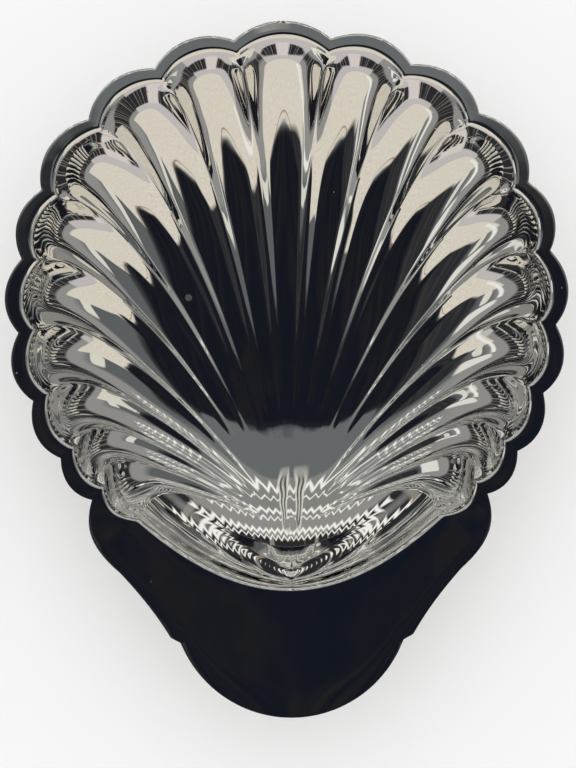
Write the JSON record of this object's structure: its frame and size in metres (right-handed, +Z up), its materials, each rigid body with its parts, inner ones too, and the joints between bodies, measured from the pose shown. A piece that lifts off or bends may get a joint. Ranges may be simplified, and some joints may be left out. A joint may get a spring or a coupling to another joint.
{
  "type": "shell-shaped serving dish",
  "caption": "Scallop-shell serving dish in polished silver plate: fluted fan-shaped bowl, narrow flat lobed rim and a flat eared tab at the hinge",
  "frame": {"origin": "middle of the base of the dish's bounding box, on the surface it stands on", "axes": "+Z up, +Y from the hinge tab towards the middle of the fan, +X to the right seen from the tab"},
  "size_m": [0.2756, 0.35, 0.0515],
  "materials": {
    "silver_plate": "mirror polished, light wear"
  },
  "bodies": {
    "root": {"shell_dish": "silver_plate"}
  },
  "joints": []
}
